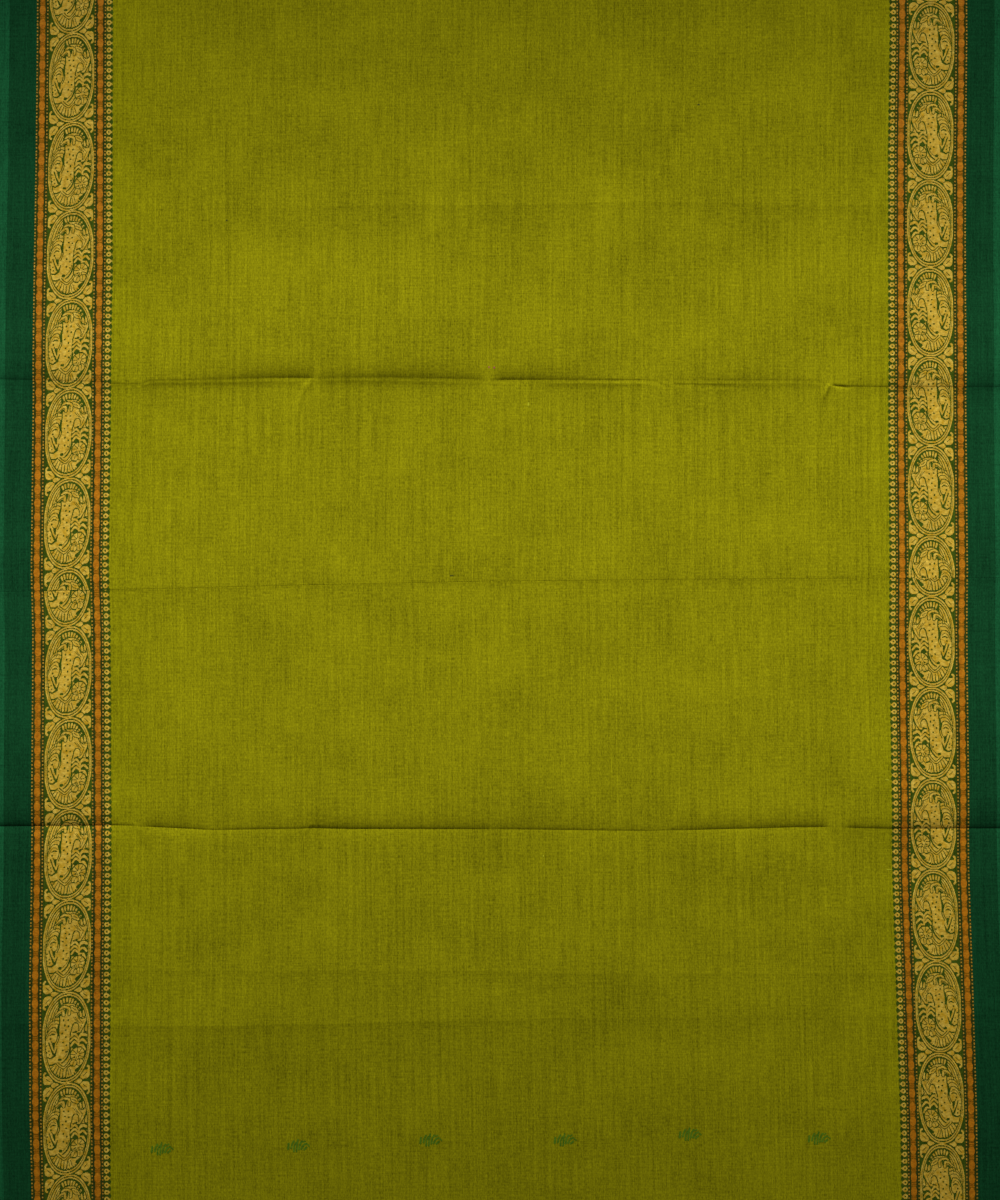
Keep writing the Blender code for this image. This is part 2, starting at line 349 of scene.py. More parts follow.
def wrinkle_height(wrinkle, x, y):
    (ax, ay), (bx, by) = wrinkle.start, wrinkle.end
    dx, dy = bx - ax, by - ay
    along = ((x - ax) * dx + (y - ay) * dy) / (dx * dx + dy * dy)
    near = np.clip(along, *WRINKLE_ENDS)
    away = np.hypot(x - ax - near * dx, y - ay - near * dy)
    return wrinkle.height * np.exp(-((away / wrinkle.width) ** 2))


def relief(x, y):
    """Height of the laid cloth above its layer's own level, with the creases at full depth."""
    height = sum(crease_height(crease, x, y) for crease in (*CREASES, TUCK))
    height += sum(wrinkle_height(wrinkle, x, y) for wrinkle in WRINKLES)
    height += sum(fold.height * np.exp(-np.abs(x - fold.x) / fold.reach) for fold in LONG_FOLDS)
    for wave in WAVES:
        across = np.sin(math.tau * x / wave.across + wave.phase)
        along = np.sin(math.tau * y / wave.along + 2 * wave.phase)
        height += wave.height * across * along
    return height * ramp((RUN / 2 - np.abs(y)) / END_FADE)


def tuck_depth(x):
    return TUCK_DEPTH + TUCK_DEPTH_SLANT * x


def ply_height(ply, x, y):
    """How far the tuck lifts its plies: 0 is the upper one, 1 the hidden one and 2 the lowest."""
    off = y - crease_line(TUCK, x)
    rest = ramp(1 - (off - tuck_depth(x)) / TUCK_REST)
    swell = SWELL_PLIES * ramp(-off / SWELL_RISE) * np.exp(np.minimum(off, 0) / SWELL_REACH)
    return TUCK_PLY * np.choose(ply, (2 * rest, np.ones_like(rest), swell))


def height_of(layer, ply, x, y):
    return LOWEST + layer * PITCH + RELIEF_SHARE[layer] * relief(x, y) + ply_height(ply, x, y)


def line_y(line, x):
    """Where a fold line or a free end lies at x."""
    return line.end * (RUN / 2 + line.out) + line.slant * x


def laid_x(layer, x, y):
    """Sideways place on a layer: it drifts from one fold line's shift to the next one's, and the
    upper layers waver along their edges."""
    first, second = FOLD_LINES[layer], FOLD_LINES[layer + 1]
    share = (y - line_y(first, x)) / (line_y(second, x) - line_y(first, x))
    drift = first.shift + (second.shift - first.shift) * share
    waver = np.interp(y, WAVER_Y, WAVERS[0].shifts)
    for left, right in zip(WAVERS, WAVERS[1:]):
        step = np.interp(y, WAVER_Y, np.subtract(right.shifts, left.shifts))
        waver = waver + step * np.clip((x - left.x) / (right.x - left.x), 0.0, 1.0)
    return x + drift + waver * RELIEF_SHARE[layer]


def flat_place(layer, ply, u, y):
    """Places on a layer away from its turns, and the directions that its face has there."""
    east, west = (height_of(layer, ply, u + d, y) for d in (SLOPE_STEP, -SLOPE_STEP))
    north, south = (height_of(layer, ply, u, y + d) for d in (SLOPE_STEP, -SLOPE_STEP))
    slope_x, slope_y = (east - west) / (2 * SLOPE_STEP), (north - south) / (2 * SLOPE_STEP)
    side = np.where(ply == 1, -1, 1) * FOLD_LINES[layer].end
    size = np.sqrt(1 + slope_x**2 + slope_y**2)
    place = np.stack([laid_x(layer, u, y), y, height_of(layer, ply, u, y)], -1)
    return place, np.stack([-slope_x, -slope_y, np.ones_like(size)], -1) * (side / size)[..., None]


def turned_place(layer, u, y, middle, radius, end, angle, inside_out):
    """The same on a turn about a line across the cloth, from angle -90 to 90 degrees."""
    out, up = end * np.cos(angle), np.sin(angle)
    place = np.stack([laid_x(layer, u, y), y + radius * out, middle + radius * up], -1)
    return place, np.stack([np.zeros_like(out), out, up], -1) * inside_out


def top_start(u):
    return line_y(FOLD_LINES[TOP], u)


def top_length(u):
    """The top layer's length along the cloth, the tuck's plies included."""
    return top_start(u) - line_y(FOLD_LINES[TOP + 1], u) + 2 * tuck_depth(u)


def top_distance(u, s):
    """How far a place is from the start of the top layer, along the cloth as it lies."""
    return (s - LAYER_START[TOP]) * top_length(u) / LAYER_RUN[TOP]


def top_s(u, distance):
    return LAYER_START[TOP] + distance * LAYER_RUN[TOP] / top_length(u)


def tuck_distance(u):
    return top_start(u) - crease_line(TUCK, u)


def on_top_layer(u, s):
    distance, tuck, depth = top_distance(u, s), tuck_distance(u), tuck_depth(u)
    tuck_y = crease_line(TUCK, u)
    ply = np.where(distance < tuck, 0, np.where(distance < tuck + depth, 1, 2))
    hidden_y = tuck_y + distance - tuck
    y = np.choose(ply, (top_start(u) - distance, hidden_y, tuck_y + 2 * depth + tuck - distance))
    place, face = flat_place(TOP, ply, u, y)
    turns = ((tuck, tuck_y, 1.5, -1, 1), (tuck + depth, tuck_y + depth, 0.5, 1, -1))
    for at_distance, turn_y, plies, end, inside_out in turns:
        angle = (distance - at_distance) / TUCK_TURN * math.pi / 2
        on_turn = np.abs(angle) < math.pi / 2
        level = height_of(TOP, np.full(ply.shape, 2), u, turn_y)
        middle = level + plies * TUCK_PLY
        turned = turned_place(TOP, u, turn_y, middle, TUCK_PLY / 2, end, -angle, inside_out)
        place = np.where(on_turn[..., None], turned[0], place)
        face = np.where(on_turn[..., None], turned[1], face)
    return place, face


def cloth_at(u, s):
    """Places in the middle of the cloth, and the directions that its face has there."""
    u, s = (np.array(a, float) for a in np.broadcast_arrays(u, s))
    place, face = np.zeros((2, *u.shape, 3))
    for layer, (start, run) in enumerate(zip(LAYER_START, LAYER_RUN)):
        line = FOLD_LINES[layer + 1]
        on = (s >= start) & (s <= start + run)
        if layer == TOP:
            place[on], face[on] = on_top_layer(u[on], s[on])
            continue
        a, b = line_y(FOLD_LINES[layer], u[on]), line_y(line, u[on])
        y = a + (b - a) * (s[on] - start) / run
        place[on], face[on] = flat_place(layer, np.full(y.shape, 2), u[on], y)
        on = (s > start + run) & (s < start + run + LOOP_LENGTH)
        angle = math.pi * ((s[on] - start - run) / LOOP_LENGTH - 0.5)
        y = line_y(line, u[on])
        middle = LOWEST + layer * PITCH + LOOP_RADIUS
        turned = turned_place(layer, u[on], y, middle, LOOP_RADIUS, line.end, angle, line.end)
        place[on], face[on] = turned
    return place, face


def columns():
    """Places across the cloth, closer together at its lengthwise folds and steep ridges."""
    found = {-WIDTH / 2, WIDTH / 2, *(waver.x for waver in WAVERS)}
    for fold in LONG_FOLDS:
        found |= {fold.x, *(fold.x + side * step for step in FOLD_COLUMNS for side in (-1, 1))}
    for crease in CREASES:
        found |= {station.x for station in crease.stations}
    for wrinkle in WRINKLES:
        (ax, ay), (bx, by) = wrinkle.start, wrinkle.end
        steep = wrinkle.height > 0 and abs(by - ay) > STEEP_WRINKLE * abs(bx - ax)
        count = math.ceil(abs(bx - ax) / CLOSEST_COLUMNS) if steep else WRINKLE_COLUMNS
        found |= set(np.linspace(ax, bx, count))
    filled = [-WIDTH / 2]
    for place in sorted(found):
        count = math.ceil((place - filled[-1]) / COLUMN_GAP)
        if place - filled[-1] > CLOSEST_COLUMNS:
            filled += [filled[-1] + (place - filled[-1]) * (k + 1) / count for k in range(count)]
    return np.array(filled)


def filled_rows(rows, gap):
    """Rows with more between them, so that none are further apart than gap."""
    filled = [rows[0]]
    for a, b in zip(rows, rows[1:]):
        count = max(math.ceil(np.abs(b - a).max() / gap), 1)
        filled += [a + (b - a) * (k + 1) / count for k in range(count)]
    return filled


def in_order(rows):
    return sorted(rows, key=lambda row: row.mean())


def crease_rows(u, low, high, main, faint):
    """Rows that follow the creases, from low to high."""
    rows = [low, high]
    for crease in CREASES:
        steps = faint if crease in FAINT_CREASES else main
        line = crease_line(crease, u)
        rows += [line, *(line + side * step for step in steps for side in (-1, 1))]
    return in_order(row for row in rows if low.mean() <= row.mean() <= high.mean())


def lower_rows(layer, u):
    """The rows of a layer below the top one, as places along the cloth."""
    a, b = (line_y(line, u) for line in FOLD_LINES[layer : layer + 2])
    low, high = (a, b) if a.mean() < b.mean() else (b, a)
    rows = [low, low + END_FADE, high - END_FADE, high]
    if RELIEF_SHARE[layer]:
        rows = crease_rows(u, low, high, LOWER_MAIN_ROWS, LOWER_FAINT_ROWS)
    rows = filled_rows(rows, SPARE_ROW_GAP)
    return in_order(LAYER_START[layer] + RUN * (y - a) / (b - a) for y in rows)


def top_rows(u):
    """The same for the top layer, through its tuck."""
    start, tuck, depth = top_start(u), crease_line(TUCK, u), tuck_depth(u)
    at_tuck = tuck_distance(u)
    turn = [np.full(u.shape, TUCK_TURN * (2 * k / TURN_STEPS - 1)) for k in range(TURN_STEPS + 1)]
    upper = crease_rows(u, tuck + TUCK_PLY, start, MAIN_ROWS, FAINT_ROWS)
    upper = filled_rows([upper[0], *(tuck + step for step in TUCK_ROWS[2:]), *upper[1:]], ROW_GAP)
    under = tuck + depth - TUCK_PLY
    lower = crease_rows(u, line_y(FOLD_LINES[TOP + 1], u), tuck, MAIN_ROWS, FAINT_ROWS)
    lower = [*lower[:-1], *(tuck - step for step in TUCK_ROWS[::-1]), tuck, under]
    lower = filled_rows(lower, ROW_GAP)
    rows = [start - y for y in upper]
    rows += [at_tuck + step for step in turn]
    rows += [at_tuck + depth + step for step in turn]
    rows += [at_tuck + 2 * depth + tuck - y for y in lower]
    return [top_s(u, row) for row in in_order(rows)]


def cloth_rows(u):
    """Places along the whole cloth, row by row, each at every column."""
    rows = []
    for layer in range(TOP):
        rows += lower_rows(layer, u)
        end = LAYER_START[layer] + RUN
        rows += [np.full(u.shape, end + LOOP_LENGTH * k / LOOP_STEPS) for k in range(1, LOOP_STEPS)]
    return np.array(rows + top_rows(u))


def new_object(name, data):
    """An object of the scene, with its data."""
    made = bpy.data.objects.new(name, data)
    bpy.context.scene.collection.objects.link(made)
    return made


def new_mesh(name, points, faces):
    """A smooth mesh of four-cornered faces."""
    mesh = bpy.data.meshes.new(name)
    mesh.from_pydata(points.tolist(), [], faces.tolist())
    mesh.shade_smooth()
    return new_object(name, mesh)


# Parts of the bake map: the start and the size of each
BAKE_WIDE = (0.01, 0.78)
BAKE_NARROW = (0.81, 0.18)
BAKE_ALONG = (0.01, 0.98)
WEAVE_MARGIN = 0.1
WEAVE_STEPS = 4000


def bake_part(part, across, along):
    (left, width), (low, length) = part, BAKE_ALONG
    return np.stack([left + width * across, low + length * along], -1)


def bake_places(u, s, back):
    """Where the cloth lies on its bake map: the top layer's face takes the wide part of it, and every
    other layer and side has a short piece of the narrow one."""
    across, on_top = u / WIDTH + 0.5, (s >= LAYER_START[TOP] - LOOP_LENGTH) & (back == 0)
    down = np.clip((s - LAYER_START[TOP]) / LAYER_RUN[TOP], 0, 1)
    wide = bake_part(BAKE_WIDE, across, 1 - down)
    narrow = bake_part(BAKE_NARROW, across, (s / CLOTH_END + back) / 2)
    return np.where(on_top[..., None], wide, narrow)


def drift_at(s):
    return np.interp(s - LAYER_START[TOP], DRIFT_AT, DRIFT)


def woven(s):
    """Where the weave's own even measure stands at a place along the cloth."""
    even = np.linspace(-WEAVE_MARGIN, CLOTH_END + WEAVE_MARGIN, WEAVE_STEPS)
    return np.interp(s, even + drift_at(even), even)


def map_piece(piece, u, s, back):
    """Gives a piece its UV maps by its vertices' places on the cloth: one for looks, one to bake on."""
    corners = np.empty(len(piece.data.loops), np.int32)
    piece.data.loops.foreach_get("vertex_index", corners)
    maps = {"cloth": np.stack([u + WIDTH / 2, woven(s)], -1), "OFBake": bake_places(u, s, back)}
    for name, places in maps.items():
        layer = piece.data.uv_layers.new(name=name)
        layer.uv.foreach_set("vector", places[corners].astype(np.float32).ravel())


def quads(grid, turned):
    """The faces of a grid of vertices, turned over or not."""
    a, b, c, d = grid[:-1, :-1], grid[:-1, 1:], grid[1:, 1:], grid[1:, :-1]
    return np.stack((a, d, c, b) if turned else (a, b, c, d), -1).reshape(-1, 4)


def make_cloth():
    """The sari as one closed sheet, laid on its folds."""
    u = columns()
    s = cloth_rows(u)
    u = np.broadcast_to(u, s.shape)
    place, face = cloth_at(u, s)
    long, wide = s.shape
    points = np.concatenate([(place + side * SHEET / 2 * face).reshape(-1, 3) for side in (1, -1)])

    index = np.arange(2 * long * wide).reshape(2, long, wide)
    grids = (index[0], index[1], index[:, :, 0], index[:, :, -1], index[:, 0], index[:, -1])
    turned = (True, False, True, False, False, True)
    faces = np.concatenate([quads(*side) for side in zip(grids, turned)])
    cloth = new_mesh("sari_cloth", points, faces)
    u, s = (np.tile(values.ravel(), 2) for values in (u, s))
    map_piece(cloth, u, s, np.repeat([0, 1], long * wide))
    return cloth


# The border's figures, in millimetres across the cloth from its selvedge and along it, and how many
# of each one repeat holds. They are worked in picks, one row of cells each
PICK = 0.8
CELL = 0.25
REPEAT = 199.2
MEDALLIONS, BEADS, RINGS, DOTS = 2, 13, 26, 52
BORDER_START, BORDER_END = 58.0, 146.0
BEAD_MIDDLES = (65.2, 131.4)
BEAD_HALF_WIDTH, BEAD_HALF_LENGTH, BEAD_POWER = 3.4, 5.1, 2.3
NECK_HALF_WIDTH, NECK_HALF_LENGTH = 2.9, 2.4
MEDALLION_MIDDLE = 98.7
MEDALLION_HALF = 25.5
OVAL_ACROSS, OVAL_ALONG, OVAL_POWER = 26.1, 49.7, 2.2
RING_MIDDLE = 141.3
RING_RADII = (0.95, 2.75)
POINT_START, POINT_LENGTH, POINT_HALF_WIDTH = 1.9, 2.2, 1.7
DOT_ROWS = (59.4, 71.0, 125.4, 137.0)
DOT_HALF_WIDTH, DOT_HALF_LENGTH = 0.75, 0.85

# The oval's lines and its field, by how far they are drawn in from its outline across and along
OUTER_LINE = ((0, 0), (1.7, 1.6))
INNER_LINE = ((2.1, 2.8), (2.9, 4.4))
FIELD = (3.8, 6.0)
LEAF_CLEAR = 1.1
LEAF_GAP = 0.5

# Threads stand out from the cloth's face, and keep clear of its ends and of the tuck
THREAD_LIFT = SHEET / 2 + 0.00012
THREAD_END = 0.004
TUCK_CLEAR = 0.0002

# Small flowers on the top layer, and the strokes of one, in millimetres, with their widths
FLOWERS = (
    (-0.372, -0.6035), (-0.222, -0.6002), (-0.0764, -0.5938),
    (0.0715, -0.5935), (0.2091, -0.5876), (0.3512, -0.5918),
)
FLOWER_STROKES = (
    (((-11, -3.4), (-10.4, 2)), 2.4),
    (((-7.6, -2.6), (-6.8, 1.2), (-4.8, 4.6)), 2.1),
    (((-4.8, -6.2), (-4.4, -1), (-2.4, 3.4)), 1.9),
    (((-2, -6.4), (-1.2, 1.4), (-0.2, 6.2)), 2),
    (((0.8, -4.2), (1.8, 1.2), (4, 4.8)), 2.1),
    (((3.4, -3.6), (5.8, 0.6), (9, 2)), 2.2),
    (((5.6, 4.2), (7.6, 4.6)), 1.6),
    (((6.4, -4.2), (9, -2)), 2.2),
    (((10.2, 1.2), (12, -0.6)), 1.5),
)
FLOWER_REACH, FLOWER_PICKS, FLOWER_MIDDLE = 14, 25, 9.5

# Slubs and stray fibres by colour: x and y, and their size across and along in millimetres
SLUBS = {
    "dark": ((-0.0535, 0.0272, 4.6, 1.6), (-0.304, 0.4225, 2.4, 1.6), (0.2212, 0.5518, 3.0, 1.6)),
    "yellow": (
        (0.0315, 0.2172, 1.2, 5.0), (0.0478, -0.2825, 1.4, 1.8), (-0.336, 0.012, 1.6, 1.8),
        (0.427, -0.1985, 4.6, 1.0), (0.43, -0.2975, 6.0, 1.2),
    ),
    "pink": ((-0.0064, 0.258, 2.0, 2.0), (-0.0122, 0.2584, 1.0, 2.2)),
}

# Each border's side of the cloth, a y of the top layer where two ovals meet, how much the
# medallions are sheared, and where each row of beads starts in its pitch
Border = namedtuple("Border", "side junction shear bead_phases")
BORDERS = table(Border, (-1, 0.1351, -0.18, (0.68, 0.27)), (1, 0.1708, -0.04, (0.97, 0.1)))

GOLD, GROUND = True, False
PATH_STEP = 0.4
OVAL_STEP = 8


def smooth_path(points):
    """A curve through the points, in short steps, with each step's place in the list."""
    points = np.array(points, float)
    if len(points) < 2:
        return points, np.zeros(1)
    ends = np.vstack([2 * points[0] - points[1], points, 2 * points[-1] - points[-2]])
    found, shares = [], []
    for k in range(len(points) - 1):
        a, b, c, d = ends[k : k + 4]
        count = max(int(np.linalg.norm(c - b) / PATH_STEP), 1)
        last = k == len(points) - 2
        t = (np.arange(count + last) / count)[:, None]
        bend = (2 * a - 5 * b + 4 * c - d) * t**2 + (3 * b - a - 3 * c + d) * t**3
        found.append(b + 0.5 * ((c - a) * t + bend))
        shares.append(k + t[:, 0])
    return np.vstack(found), np.concatenate(shares)


def limb(p, q, points, widths):
    """Whether each place is within a stroke whose width changes from point to point."""
    path, share = smooth_path(points)
    radii = np.interp(share, np.arange(len(points)), np.broadcast_to(widths, len(points))) / 2
    inside = np.zeros(p.shape, bool)
    for (x, y), radius in zip(path, radii):
        inside |= (p - x) ** 2 + (q - y) ** 2 < radius * radius
    return inside


def spoke(centre, radii, angle):
    """Points on a line out from a centre, by its angle in degrees."""
    x, y = math.cos(math.radians(angle)), math.sin(math.radians(angle))
    return [(centre[0] + r * x, centre[1] + r * y) for r in radii]


def oval(p, q, across, along):
    """Whether each place is inside the medallion's outline, drawn in by so much each way."""
    p, q = np.abs(p) / (OVAL_ACROSS - across), np.abs(q) / (OVAL_ALONG - along)
    return p**OVAL_POWER + q**OVAL_POWER < 1


def on_oval(inset, angle):
    """A place on the outline drawn in by the inset, by its angle in degrees."""
    c, s = math.cos(math.radians(angle)), math.sin(math.radians(angle))
    c, s = (math.copysign(abs(v) ** (2 / OVAL_POWER), v) for v in (c, s))
    return (OVAL_ACROSS - inset) * c, (OVAL_ALONG - inset) * s


def beside_oval(inset, start, end):
    """Points along the outline drawn in by the inset, between two angles."""
    return [on_oval(inset, angle) for angle in np.linspace(start, end, (end - start) // OVAL_STEP)]


# The bird inside each oval, its long dotted body in the middle and its tail on the selvedge side, with
# flowers and a fan. Strokes are worked in this order, in ground, or in gold where a line is given,
# with a line of ground so wide round it
LINE_GAIN = 0.02
FRINGE_INSET, FRINGE_BOTTOM, FRINGE_LEFT = (8.0, 12.4), 20, -8.5
FRINGE_THREADS = range(34, 108, 9)
BODY_SPOTS = (
    (2, 18.6), (-2.9, 19.5), (-1.7, 13.7), (2.4, 12.1), (-0.8, 8.3), (-4.5, 5.3),
    (-0.6, 0.6), (-3.7, -4.8), (-0.1, -8.4), (-3.9, -13.4), (-0.3, -15.4),
)
FEATHERS = (
    ((-7.1, 23.1), (-11, 24.2), (-15.4, 23.1), (-19, 19.2), (-21.5, 14.8)),
    ((-7.3, 18.8), (-10.4, 20.6), (-15, 20.2), (-18.3, 17.7), (-20.8, 13.4)),
    ((-8.2, 14.8), (-11, 17.3), (-15.4, 17), (-18.6, 14.1), (-21.2, 9)),
    ((-10, 7.6), (-11, 12), (-14, 13.4), (-17.6, 12), (-20.4, 8.3), (-22.4, 3.3)),
)
FEATHER_WIDTHS = (0.75, 0.85, 0.85, 1.1)
LEG_SPOTS = ((-21.2, -5.3), (-22.2, -9.2), (-21.3, -13), (-18.8, -11.4), (-18.2, -15.4))
ROSETTE_MIDDLE, ROSETTE_RADII = (11.6, -20.6), (2.4, 7.4)
ROSETTE_PETALS = range(10, 370, 40)
ROSETTE_SPOTS = ((12.7, -22.8), (10.5, -19.2), (14.6, -19.9), (8.6, -23.4))
FAN_SPOTS = range(244, 301, 7)
Stroke = namedtuple("Stroke", "points widths line", defaults=(None,))
BIRD = table(
    Stroke,
    # Fringe
    *(([on_oval(7.2, angle), on_oval(10.8, angle)], [2.3, 1.6], 0) for angle in FRINGE_THREADS),
    *((beside_oval(inset, 112, 152), 0.85) for inset in (6.8, 9.2, 11.6)),
    ([(14.5, 28.5), (11, 34), (5.5, 36.4), (0, 37), (-5, 36.2), (-9, 33)], 0.9),
    # Crest
    ([(12.3, 26.3), (9, 29.3), (5.4, 32)], [1.5, 4.8, 3.4], 0.9),
    ([(10.5, 28.2), (6.5, 31.2)], 0.7),
    ([(3, 25), (3.2, 30.6), (0.6, 32.8), (-3.6, 33.9), (-6.4, 32.1)], 2.3, 0.9),
    ([(-3, 25), (-3.6, 29.6), (-7.4, 29.4), (-11.2, 26.4)], [2.6, 2.4, 2.2, 1.5], 0.9),
    ([(-0.4, 30.8), (-0.8, 26.8)], [2.6, 1.8]),
    ([(-6.4, 25.8), (-9.6, 24)], [2.8, 1.4]),
    # Neck
    ([(18.4, 26.4), (18.6, 21.2)], [1.6, 2.6], 0.9),
    ([(14.8, 25.4), (15.6, 21)], [1.6, 2.6], 0.9),
    ([(19.8, 18.4), (16, 18.2), (12.6, 21.6), (11.6, 25)], [1.2, 0.9, 0.9, 1.2]),
    ([(16.6, 14), (12.6, 20)], 0.65),
    ([(14.2, 13.6), (9.4, 20.6)], 0.65),
    ([(11.8, 15.2), (7, 21.4)], 0.65),
    ([(22.6, 15.5), (19.1, 9.1), (14.8, 2.6), (12.7, 0.4)], [2.8, 1.1, 1, 1]),
    ([(17.7, 14), (15.9, 9.8), (13.7, 5.5)], 0.65),
    (
        [(12.8, 5.4), (13.2, 10.5), (11.6, 13.7), (8.7, 14.5), (6.5, 11.9), (5.5, 7.6), (4, 3)],
        [0.9, 0.9, 1.1, 1.4, 1.3, 1.1, 1.3],
    ),
    ([(10.5, 4.6), (6.8, 4.2)], [2.4, 1.2]),
    # Body
    *(([spot], 2) for spot in BODY_SPOTS),
    (
        [(4.2, 2.6), (3.5, -6), (3.9, -13.2), (1.5, -20.4), (-1.7, -24.7), (-5, -26.9)],
        [1.3, 1.1, 2.2, 1.7, 1.7, 1.3],
    ),
    ([(2, -13), (0, -18.5), (-4.4, -23)], 0.7),
    (
        [(-7.1, 23.5), (-7.1, 17.7), (-8.4, 12.7), (-8.8, 6.9), (-7.8, 1.2), (-10.4, -5.3)],
        [1.2, 1.2, 2.4, 2.6, 1, 1],
    ),
    ([(-6.4, -23), (-7.8, -22.8)], 2.8),
    # Tail
    *zip(FEATHERS, FEATHER_WIDTHS),
    ([(-9.3, 5.5), (-10.2, -0.3), (-12.2, -3.7), (-14.7, -4), (-16.3, -1)], 1),
    ([(-12.3, 5.3), (-14.7, 6.4), (-17.6, 5.2)], [1.1, 1.6, 1.1]),
    ([(-11.6, 7.6), (-14.4, 9.8), (-17.6, 8.6), (-20.4, 4.4), (-23, -0.3)], 0.7),
    ([(-17.2, 1.5)], 2.1),
    # Legs
    ([(-14, -4.6), (-13.3, -10.4)], [3.4, 1.1]),
    ([(-19, -2.4), (-16.9, -8.9), (-14.2, -15.4)], [1.3, 1.1, 2.2]),
    ([(-10.2, -10.6), (-12.4, -16.1), (-14.2, -15.6)], [0.9, 2, 1.6]),
    ([(-12.6, -17.4), (-17.2, -19.8), (-20.2, -18.4)], [2.6, 1.6, 1.4]),
    ([(-11.4, -26), (-14.2, -27.2), (-18.4, -26.6)], [1.3, 1.9, 1.3]),
    *(([spot], 1.6) for spot in LEG_SPOTS),
    # Spray
    ([(19, -1.5), (8.6, -1.5)], [9, 9.4]),
    ([(19, -8.5), (8.4, -8.5)], [8, 9.4]),
    ([(21, -8), (19.4, -19)], [4, 3.6]),
    ([(13, -2.6), (16.6, 0.6), (22.6, -1.6)], [1.7, 3.7, 2.2], 0),
    ([(13.2, -7.2), (17.3, -5.2), (21.6, -9.8)], [1.7, 2.7, 1.8], 0),
    ([(14.1, -10.9), (17.4, -11.6), (20, -16.6)], [1.7, 2.3, 1.8], 0),
    ([(13, -2.6), (8.9, 2.4), (4.6, -0.2)], [1.7, 2.3, 2], 0),
    ([(12.9, -6.6), (8.6, -1.8), (4.4, -4.6)], [1.7, 2.3, 2], 0),
    ([(12.6, -9.6), (8.4, -6.2), (4.9, -9.8)], [1.7, 2.6, 2], 0),
    ([(13.1, -2.2), (13, -12)], 1.7, 0),
    ([(21.8, 10.4), (21.1, 4.8)], [1.6, 3], 1),
    # Rosette
    ([(11.8, -20.4)], 14.6, 1.2),
    ([(13.9, -29)], 6.8, 0.8),
    ([(7.4, -29.2)], 6.8, 0.8),
    *((spoke(ROSETTE_MIDDLE, ROSETTE_RADII, angle), 0.8) for angle in ROSETTE_PETALS),
    *(([spot], 1.5) for spot in ROSETTE_SPOTS),
    ([(14.2, -26.8), (13.6, -31.2)], 0.65),
    ([(8.2, -27), (6.6, -31)], 0.65),
    ([(18.2, -30.6), (14.6, -34.4), (10.6, -37.6)], [1.6, 2.6, 3.6]),
    # Fan
    ([(3.7, -24), (0.6, -28.3), (-3.2, -31), (-6.8, -28.3), (-9.3, -25.5)], 1),
    ([(4.4, -27), (1.2, -30.8), (-3.2, -33.7), (-7.1, -31.2), (-11, -27.4)], 0.9),
    ([(8.8, -33.2), (4.4, -31.6), (0.6, -34.2), (-0.9, -42.8)], [1.2, 1, 1, 1.2]),
    ([(5.2, -40.6), (3.4, -34.6)], 0.7),
    ([(2.4, -41.6), (1.4, -35.6)], 0.7),
    ([(-3.6, -35), (-4.2, -42.6)], [0.8, 1.2]),
    ([(-6.4, -33.6), (-7.8, -41.2)], [0.8, 1.2]),
    ([(-8.6, -31.6), (-11.6, -38.6)], [0.8, 1.2]),
    ([(-11, -29.6), (-14.6, -35.2)], [0.8, 1.2]),
    ([(-14, -28.6), (-17.6, -31.8)], [0.8, 1.2]),
    *(([on_oval(6, angle)], 1.5) for angle in FAN_SPOTS),
)


def bird(p, q, gold):
    """Works the bird and what is round it into a gold field."""
    gold[~oval(p, q, *FRINGE_INSET) & (q > FRINGE_BOTTOM) & (p > FRINGE_LEFT)] = GROUND
    for points, widths, line in BIRD:
        widths = np.broadcast_to(widths, len(points))
        if line != 0:
            gold[limb(p, q, points, widths + 2 * (line or 0) + LINE_GAIN)] = GROUND
        if line is not None:
            gold[limb(p, q, points, widths)] = GOLD
    return gold


def medallion(p, q):
    """The oval's two lines, which meet at its sides, with the bird inside."""
    outer, inner = (oval(p, q, *a) & ~oval(p, q, *b) for a, b in (OUTER_LINE, INNER_LINE))
    field = oval(p, q, *FIELD)
    return outer | inner | bird(p, q, field.copy()) & field


def corner_leaves(p, q):
    """Two hooked leaves and a bud on each side of the place where two ovals meet."""
    p = np.abs(p)
    leaves = np.zeros(p.shape, bool)
    for y in (q, -q):
        leaf = limb(p, y, [(16.0, 3.2), (20.2, 6.2), (23.8, 10.0)], [3.0, 9.6, 2.6])
        tip = limb(p, y, [(23.5, 9.4), (24.2, 13.2), (22.8, 14.8)], [1.8, 1.9, 2.4])
        vein = limb(p, y, [(18.2, 4.8), (21.8, 8.2)], 0.8)
        leaves |= (leaf | tip) & ~vein & (y > LEAF_GAP)
    bud = [(8.8, 0), (13.8, 0)]
    return leaves & ~limb(p, q, bud, [2.6, 7.0]) | limb(p, q, bud, [1.0, 5.4])


